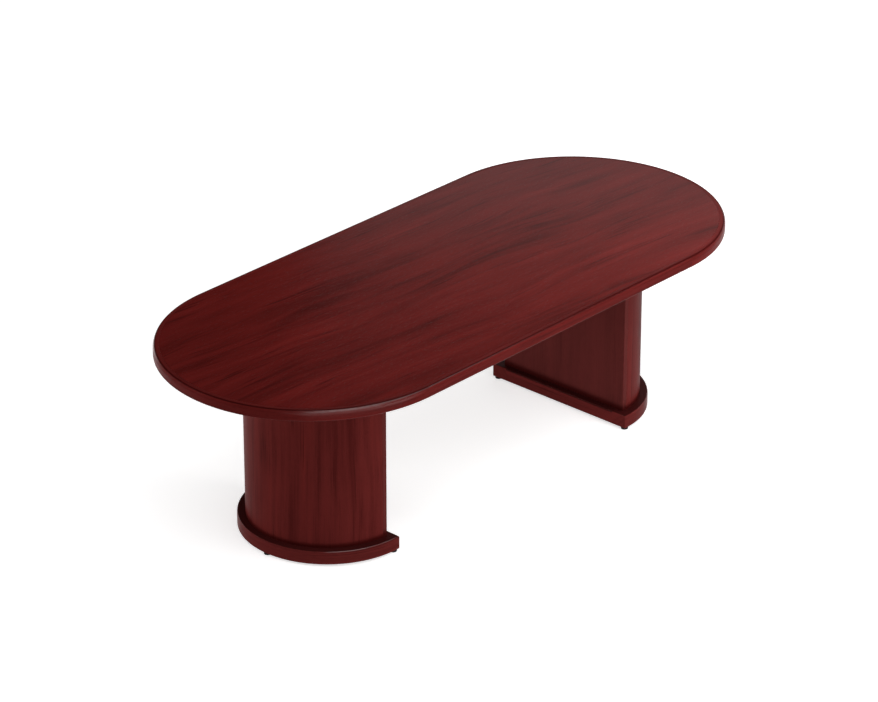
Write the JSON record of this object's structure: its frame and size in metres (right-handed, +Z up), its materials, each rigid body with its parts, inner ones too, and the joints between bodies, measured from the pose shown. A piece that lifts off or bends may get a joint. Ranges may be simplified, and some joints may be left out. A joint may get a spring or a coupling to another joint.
{
  "type": "conference table",
  "caption": "Racetrack conference table in dark red mahogany: long top with half-circle ends and a rounded edge, on half-round drum bases with plinths and levelling glides.",
  "frame": {"origin": "on the floor under the middle of the top", "axes": "+X along the table towards the right base, +Y across it towards the back, +Z up"},
  "size_m": [2.5, 1.1, 0.75],
  "materials": {
    "top_veneer": "gloss lacquered mahogany veneer, grain along the length",
    "edge_wood": "gloss lacquered solid mahogany moulding",
    "drum_veneer": "satin gloss mahogany veneer, upright grain",
    "plinth_wood": "gloss lacquered mahogany, grain along the plinth",
    "core_board": "raw particle board",
    "backer": "dull sealed balancing sheet",
    "softwood": "raw sawn softwood",
    "zinc": "zinc plated steel",
    "glide_nylon": "black nylon"
  },
  "bodies": {
    "table": {"top_core": "core_board", "top_face_veneer": "top_veneer", "top_backer": "backer", "edge_moulding_front": "edge_wood", "edge_moulding_back": "edge_wood", "edge_moulding_left_end": "edge_wood", "edge_moulding_right_end": "edge_wood", "drum_shell_left": "drum_veneer", "drum_flat_panel_left": "drum_veneer", "drum_top_plate_left": "core_board", "drum_bottom_plate_left": "core_board", "corner_block_left_front": "softwood", "corner_block_left_back": "softwood", "apex_batten_left": "softwood", "plinth_rim_left": "plinth_wood", "plinth_rail_left": "plinth_wood", "fixing_bolt_left_1": "zinc", "bolt_insert_left_1": "zinc", "fixing_bolt_left_2": "zinc", "bolt_insert_left_2": "zinc", "fixing_bolt_left_3": "zinc", "bolt_insert_left_3": "zinc", "fixing_bolt_left_4": "zinc", "bolt_insert_left_4": "zinc", "glide_nut_left_front": "zinc", "glide_nut_left_back": "zinc", "glide_nut_left_end": "zinc", "drum_shell_right": "drum_veneer", "drum_flat_panel_right": "drum_veneer", "drum_top_plate_right": "core_board", "drum_bottom_plate_right": "core_board", "corner_block_right_front": "softwood", "corner_block_right_back": "softwood", "apex_batten_right": "softwood", "plinth_rim_right": "plinth_wood", "plinth_rail_right": "plinth_wood", "fixing_bolt_right_1": "zinc", "bolt_insert_right_1": "zinc", "fixing_bolt_right_2": "zinc", "bolt_insert_right_2": "zinc", "fixing_bolt_right_3": "zinc", "bolt_insert_right_3": "zinc", "fixing_bolt_right_4": "zinc", "bolt_insert_right_4": "zinc", "glide_nut_right_front": "zinc", "glide_nut_right_back": "zinc", "glide_nut_right_end": "zinc"},
    "glide_pad_left_front": {"glide_pad_left_front": "glide_nylon"},
    "glide_stem_left_front": {"glide_stem_left_front": "zinc"},
    "glide_pad_left_back": {"glide_pad_left_back": "glide_nylon"},
    "glide_stem_left_back": {"glide_stem_left_back": "zinc"},
    "glide_pad_left_end": {"glide_pad_left_end": "glide_nylon"},
    "glide_stem_left_end": {"glide_stem_left_end": "zinc"},
    "glide_pad_right_front": {"glide_pad_right_front": "glide_nylon"},
    "glide_stem_right_front": {"glide_stem_right_front": "zinc"},
    "glide_pad_right_back": {"glide_pad_right_back": "glide_nylon"},
    "glide_stem_right_back": {"glide_stem_right_back": "zinc"},
    "glide_pad_right_end": {"glide_pad_right_end": "glide_nylon"},
    "glide_stem_right_end": {"glide_stem_right_end": "zinc"}
  },
  "joints": [
    {"name": "glide_left_front_height", "type": "slide", "parent": "table", "child": "glide_pad_left_front", "axis": [0, 0, -1], "range_m": [0, 0.0201]},
    {"name": "glide_left_front_turn", "type": "hinge", "parent": "glide_pad_left_front", "child": "glide_stem_left_front", "pos_m": [-0.63, -0.311, 0], "axis": [0, 0, -1], "range_deg": [0, 5760]},
    {"name": "glide_left_back_height", "type": "slide", "parent": "table", "child": "glide_pad_left_back", "axis": [0, 0, -1], "range_m": [0, 0.0201]},
    {"name": "glide_left_back_turn", "type": "hinge", "parent": "glide_pad_left_back", "child": "glide_stem_left_back", "pos_m": [-0.63, 0.311, 0], "axis": [0, 0, -1], "range_deg": [0, 5760]},
    {"name": "glide_left_end_height", "type": "slide", "parent": "table", "child": "glide_pad_left_end", "axis": [0, 0, -1], "range_m": [0, 0.0201]},
    {"name": "glide_left_end_turn", "type": "hinge", "parent": "glide_pad_left_end", "child": "glide_stem_left_end", "pos_m": [-0.939, 0, 0], "axis": [0, 0, -1], "range_deg": [0, 5760]},
    {"name": "glide_right_front_height", "type": "slide", "parent": "table", "child": "glide_pad_right_front", "axis": [0, 0, -1], "range_m": [0, 0.0201]},
    {"name": "glide_right_front_turn", "type": "hinge", "parent": "glide_pad_right_front", "child": "glide_stem_right_front", "pos_m": [0.63, -0.311, 0], "axis": [0, 0, -1], "range_deg": [0, 5760]},
    {"name": "glide_right_back_height", "type": "slide", "parent": "table", "child": "glide_pad_right_back", "axis": [0, 0, -1], "range_m": [0, 0.0201]},
    {"name": "glide_right_back_turn", "type": "hinge", "parent": "glide_pad_right_back", "child": "glide_stem_right_back", "pos_m": [0.63, 0.311, 0], "axis": [0, 0, -1], "range_deg": [0, 5760]},
    {"name": "glide_right_end_height", "type": "slide", "parent": "table", "child": "glide_pad_right_end", "axis": [0, 0, -1], "range_m": [0, 0.0201]},
    {"name": "glide_right_end_turn", "type": "hinge", "parent": "glide_pad_right_end", "child": "glide_stem_right_end", "pos_m": [0.939, 0, 0], "axis": [0, 0, -1], "range_deg": [0, 5760]}
  ],
  "couplings": [
    {"joint": "glide_left_front_height", "follows": "glide_left_front_turn", "m_per_rad": 0.00019894},
    {"joint": "glide_left_back_height", "follows": "glide_left_back_turn", "m_per_rad": 0.00019894},
    {"joint": "glide_left_end_height", "follows": "glide_left_end_turn", "m_per_rad": 0.00019894},
    {"joint": "glide_right_front_height", "follows": "glide_right_front_turn", "m_per_rad": 0.00019894},
    {"joint": "glide_right_back_height", "follows": "glide_right_back_turn", "m_per_rad": 0.00019894},
    {"joint": "glide_right_end_height", "follows": "glide_right_end_turn", "m_per_rad": 0.00019894}
  ]
}
